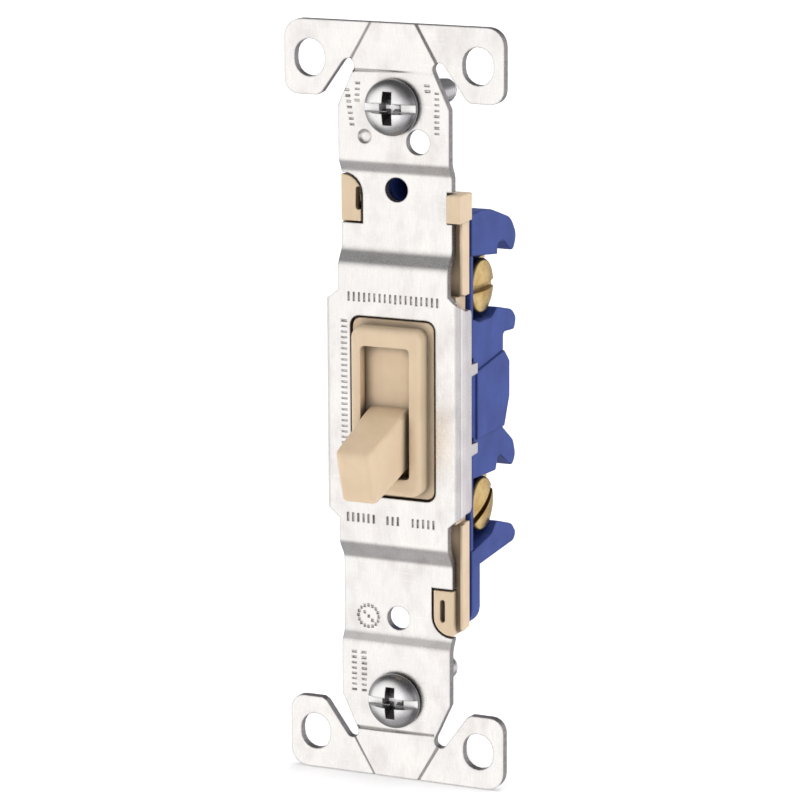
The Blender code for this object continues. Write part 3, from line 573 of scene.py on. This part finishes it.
def mounting_screw_piece(node, name, body, surface):
    """A 6-32 screw with a domed head, a driver slot, a cross recess and a rolled thread."""
    low, high = size(node)
    height = (low.z + high.z) / 2
    head_radius = (high.x - low.x) / 2
    seat = low.y + SCREW_HEAD_HEIGHT
    profile = domed_profile(head_radius, low.y, seat)
    shape = threaded_screw(profile, "Y", (seat + 0.8, high.y - 0.3), SCREW_CREST, SCREW_ROOT)
    half_length = head_radius + 0.5
    slot = ((low.y - 1, half_length, 0.672), (low.y + 1.3, half_length, 0.57))
    shape = cut_shape(shape, tapered_cutter(slot))
    for half_u, half_v in ((2.5, 0.72), (0.72, 2.5)):
        arm = ((low.y - 0.4, half_u * 1.12, half_v * 1.12), (low.y + 2.2, half_u * 0.4, half_v * 0.4))
        shape = cut_shape(shape, tapered_cutter(arm))
    new_piece(name, shape, surface, body, [node], 32, (0, 0, height))


def crowned_profile(radius, outer):
    """(radius, along) points of a slightly crowned screw head with a rounded rim, from its crown in."""
    rim = 0.6
    crown = 0.45
    seat = TERMINAL_SEAT_X
    points = []
    for step in range(8):
        share = step / 7
        points.append(((radius - rim) * share, outer - crown * share * share))
    for step in range(1, 7):
        angle = math.radians(15 * step)
        points.append((radius - rim * (1 - math.sin(angle)), outer - crown - rim * (1 - math.cos(angle))))
    points += [(radius, seat + 0.25), (radius - 0.2, seat)]
    points += [(TERMINAL_ROOT + 0.35, seat), (TERMINAL_ROOT, seat - 0.15)]
    return points


def terminal_screw_piece(node, name, body, slot_deg, surface):
    """A brass binding screw: crowned head, driver slot turned by an angle, and a rolled thread."""
    low, high = size(node)
    centre = (0, (low.y + high.y) / 2, (low.z + high.z) / 2)
    outer = high.x
    profile = crowned_profile((high.z - low.z) / 2, outer)
    thread = (TERMINAL_SEAT_X - 0.3, low.x + 0.25)
    shape = threaded_screw(profile, "X", thread, TERMINAL_CREST, TERMINAL_ROOT)
    half = 0.5
    turn = Matrix.Rotation(math.radians(slot_deg), 3, "X")
    sections = []
    for x in (outer - 0.95, outer + 1):
        corners = [(x, -5, -half), (x, 5, -half), (x, 5, half), (x, -5, half)]
        sections.append([turn @ Vector(corner) for corner in corners])
    shape = cut_shape(shape, solid_from(sections))
    new_piece(name, shape, surface, body, [node], 32, centre)


def spring_piece(surface):
    """The toggle spring as a smooth round wire."""
    axis_dir = Vector((0, math.cos(REST_TILT), math.sin(REST_TILT)))
    side = Vector((1, 0, 0))
    up = side.cross(axis_dir)
    pivot = Vector((0, PIVOT_Y, 0))
    curve = bpy.data.curves.new("toggle_spring_wire", "CURVE")
    curve.dimensions = "3D"
    steps = 24 * SPRING_COILS
    spline = curve.splines.new("POLY")
    spline.points.add(steps)
    for index in range(steps + 1):
        share = index / steps
        angle = 2 * math.pi * SPRING_COILS * share
        along = SPRING_START + SPRING_LENGTH * share
        outward = side * math.cos(angle) + up * math.sin(angle)
        point = pivot + axis_dir * along + outward * SPRING_R
        spline.points[index].co = (*(point * MM), 1)
    curve.bevel_depth = SPRING_WIRE_R * MM
    curve.bevel_resolution = 3
    curve.use_fill_caps = True
    curve.materials.append(surface)
    made = bpy.data.objects.new("toggle_spring_wire", curve)
    bpy.context.scene.collection.objects.link(made)
    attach(made, "toggle")
    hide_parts("toggle_spring")


# ---------------------------------------------------------------- stage

def stage_surface(name, shape, glow):
    """A bmesh in metres as a pale, faintly glowing part of the stage that shiny pieces don't mirror."""
    mesh = bpy.data.meshes.new(name)
    shape.to_mesh(mesh)
    shape.free()
    made = bpy.data.objects.new(name, mesh)
    bpy.context.scene.collection.objects.link(made)
    surface = Surface("pale_" + name)
    speck = surface.noise(2.0)
    colour = surface.mix(speck, rgb(0.93, 0.93, 0.93), rgb(0.96, 0.96, 0.96))
    surface.feed(surface.shader.inputs["Emission Color"], colour)
    surface.shader.inputs["Emission Strength"].default_value = glow
    roughness = surface.remap(speck, 0, 1, 0.7, 0.8)
    mesh.materials.append(surface.finish(colour, roughness, surface.bump(speck, 0.02)))
    made.visible_glossy = False
    made.visible_shadow = False
    return made


def stage_floor():
    shape = bmesh.new()
    bmesh.ops.create_grid(shape, x_segments=1, y_segments=1, size=3.0)
    floor = stage_surface("floor", shape, 0.35)
    floor.location = (0, 0, CAD_LOW.z - 0.0001)


def stage_backdrop():
    """A round wall far behind the object. It only fills the view above the floor, and casts no light."""
    radius = 2.8
    height = 3.0
    shape = bmesh.new()
    bmesh.ops.create_cone(shape, segments=64, radius1=radius, radius2=radius, depth=height, cap_ends=False)
    wall = stage_surface("backdrop", shape, 1.0)
    wall.location = (0, 0, CAD_LOW.z + height / 2)
    wall.visible_diffuse = False
    wall.visible_transmission = False


def direction_from(azimuth_deg, elevation_deg):
    """A unit vector. Azimuth 0 is straight out of the switch's face, and positive to the right."""
    azimuth = math.radians(azimuth_deg)
    elevation = math.radians(elevation_deg)
    level = math.cos(elevation)
    return Vector((math.sin(azimuth) * level, -math.cos(azimuth) * level, math.sin(elevation)))


def stage_world():
    """Studio surround: an even dim room with broad soft boxes, each a round patch of light."""
    world = bpy.data.worlds.new("studio")
    bpy.context.scene.world = world
    world.use_nodes = True
    nodes = world.node_tree.nodes
    links = world.node_tree.links
    place = nodes.new("ShaderNodeTexCoord")
    total = None
    room = (0.17, 0.165, 0.17)
    soft_boxes = [((-34, -4), (26, 50), (0.945, 0.93, 0.91)), ((122, -4), (30, 58), (0.64, 0.61, 0.64)),
                  ((62, -4), (16, 34), (0.45, 0.44, 0.45)), ((18, -14), (14, 38), (0.5, 0.49, 0.5)),
                  ((-100, -4), (24, 42), (0.6, 0.58, 0.58)), ((-150, -14), (18, 40), (0.5, 0.49, 0.5)),
                  ((0, -90), (25, 50), (0.26, 0.25, 0.25))]
    for where, (full, fade), colour in soft_boxes:
        nearness = nodes.new("ShaderNodeVectorMath")
        nearness.operation = "DOT_PRODUCT"
        nearness.inputs[1].default_value = direction_from(*where)
        links.new(place.outputs["Generated"], nearness.inputs[0])
        patch = nodes.new("ShaderNodeMapRange")
        patch.interpolation_type = "SMOOTHSTEP"
        patch.inputs["From Min"].default_value = math.cos(math.radians(fade))
        patch.inputs["From Max"].default_value = math.cos(math.radians(full))
        links.new(nearness.outputs["Value"], patch.inputs["Value"])
        share = nodes.new("ShaderNodeVectorMath")
        share.operation = "MULTIPLY_ADD"
        share.inputs[0].default_value = colour
        links.new(patch.outputs[0], share.inputs[1])
        share.inputs[2].default_value = room
        if total is not None:
            links.new(total, share.inputs[2])
        total = share.outputs[0]
    links.new(total, nodes["Background"].inputs["Color"])
    nodes["Background"].inputs["Strength"].default_value = 1.0


def far_light(name, direction, spread_deg, strength):
    """A far, broad light that shines from a direction."""
    data = bpy.data.lights.new(name, "SUN")
    data.angle = math.radians(spread_deg)
    data.energy = strength
    made = bpy.data.objects.new(name, data)
    made.location = Vector(direction).normalized()
    made.rotation_euler = (-made.location).to_track_quat("-Z", "Y").to_euler()
    made.visible_glossy = False
    bpy.context.scene.collection.objects.link(made)


def stage_lights():
    far_light("front_light", (-0.35, -1.0, 0.8), 50, 0.58)
    far_light("right_light", (1.0, 0.15, 0.25), 50, 0.9)
    far_light("left_light", (-1.0, -0.2, 0.1), 70, 0.45)
    far_light("top_light", (0.1, 0.2, 1.0), 60, 1.6)


def stage_camera():
    """The photograph's viewpoint: direction, roll, distance and the point looked at."""
    back = direction_from(AZIMUTH_DEG, ELEVATION_DEG)
    right = Vector((-back.y, back.x, 0)).normalized()
    up = back.cross(right)
    rolled_right = right * math.cos(ROLL) + up * math.sin(ROLL)
    rolled_up = up * math.cos(ROLL) - right * math.sin(ROLL)
    place = rolled_right * AIM_RIGHT + rolled_up * AIM_UP + back * DISTANCE + Vector((0, AIM_DEPTH, 0))
    data = bpy.data.cameras.new("camera")
    data.sensor_width = SENSOR
    data.lens = FOCAL_LENGTH
    data.clip_start = 0.05
    data.clip_end = 20
    camera = bpy.data.objects.new("camera", data)
    axes = Matrix((rolled_right, rolled_up, back)).transposed().to_4x4()
    camera.matrix_world = Matrix.Translation(place * MM) @ axes
    bpy.context.scene.collection.objects.link(camera)
    bpy.context.scene.camera = camera


# ---------------------------------------------------------------- the whole scene

def rounded_copy(node, name, surface, body, width):
    """A CAD piece with its edges rounded by a width in millimetres, or left sharp where that is 0."""
    shape = cad_shape(node)
    if width:
        round_edges(shape, width)
    new_piece(name, shape, surface, body, [node])


def build_case():
    ivory = moulded_plastic("ivory_thermoplastic", (0.73, 0.575, 0.395), (0.67, 0.52, 0.35),
                            0.42, 0.07, 0.08)
    lever = moulded_plastic("ivory_lever_plastic", (0.73, 0.57, 0.395), (0.67, 0.515, 0.345),
                            0.36, 0.06, 0.08)
    # The blue's rim settings darken its edges as painted shade, and its hollow setting paints shade in its
    # corners.
    blue = moulded_plastic("blue_thermoplastic", (0.037, 0.073, 0.31), (0.024, 0.051, 0.222),
                           0.46, 0.09, 0.0,
                           sheen=(0.0, 0.3), rim=(0.36, 0.85, 0.2, 0.0), hollow=(3.0, 0.85, 0.35, 0.3))
    rounded_copy("front_frame", "ivory_frame", ivory, "housing", 0.14)
    rounded_copy("toggle_lever", "ivory_lever", lever, "toggle", 0.12)
    rounded_copy("base_housing", "blue_base", blue, "housing", 0.15)


def build_contacts(spring_metal):
    brass = rolled_metal("brass_sheet", (0.89, 0.68, 0.34), (0.82, 0.60, 0.28), 0.26)
    silver = turned_metal("contact_silver_alloy", "Y", (0.88, 0.87, 0.85), (0.78, 0.77, 0.75), 0.25)
    rounded_copy("line_terminal", "line_terminal_plate", brass, "housing", 0.08)
    rounded_copy("load_terminal", "load_terminal_plate", brass, "housing", 0.08)
    rounded_copy("contact_rocker", "rocker_plate", brass, "rocker", 0.08)
    rounded_copy("moving_contact", "moving_contact_button", silver, "rocker", 0.0)
    rounded_copy("fixed_contact", "fixed_contact_button", silver, "housing", 0.0)
    rounded_copy("line_wire_clamp", "line_clamp_leaf", spring_metal, "housing", 0.05)
    rounded_copy("load_wire_clamp", "load_clamp_leaf", spring_metal, "housing", 0.05)


def build_plunger():
    acetal = moulded_plastic("white_acetal", (0.86, 0.85, 0.80), (0.80, 0.79, 0.74), 0.45, 0.08, 0.2)
    rounded_copy("toggle_plunger", "plunger_pin", acetal, "plunger", 0.0)


def build_screws():
    brass = turned_metal("brass_screw_metal", "X", (0.95, 0.74, 0.33), (0.62, 0.40, 0.11), 0.20,
                         head=("GREATER_THAN", TERMINAL_SEAT_X - HEAD_MARGIN))
    steel = turned_metal("zinc_screw_metal", "Y", (0.92, 0.92, 0.92), (0.84, 0.84, 0.85), 0.20,
                         head=("LESS_THAN", EAR_Y + HEAD_MARGIN))
    fibre = pressed_fibre()
    for label in ("top", "bottom"):
        body = label + "_screw"
        rounded_copy("screw_retainer_" + label, "fibre_washer_" + label, fibre, body, 0.08)
        mounting_screw_piece("mounting_screw_" + label, "box_screw_" + label, body, steel)
    terminal_screw_piece("line_terminal_screw", "line_binding_screw", "line_screw", 0, brass)
    terminal_screw_piece("load_terminal_screw", "load_binding_screw", "load_screw", 30, brass)


def build_stage():
    stage_floor()
    stage_backdrop()
    stage_world()
    stage_lights()
    stage_camera()
    bpy.context.scene.view_settings.view_transform = "Standard"


def main():
    spring_metal = rolled_metal("spring_steel_strip", (0.50, 0.50, 0.53), (0.40, 0.40, 0.43), 0.3)
    strap_piece(zinc_plate())
    build_case()
    build_contacts(spring_metal)
    build_plunger()
    build_screws()
    spring_piece(spring_metal)
    build_stage()


main()
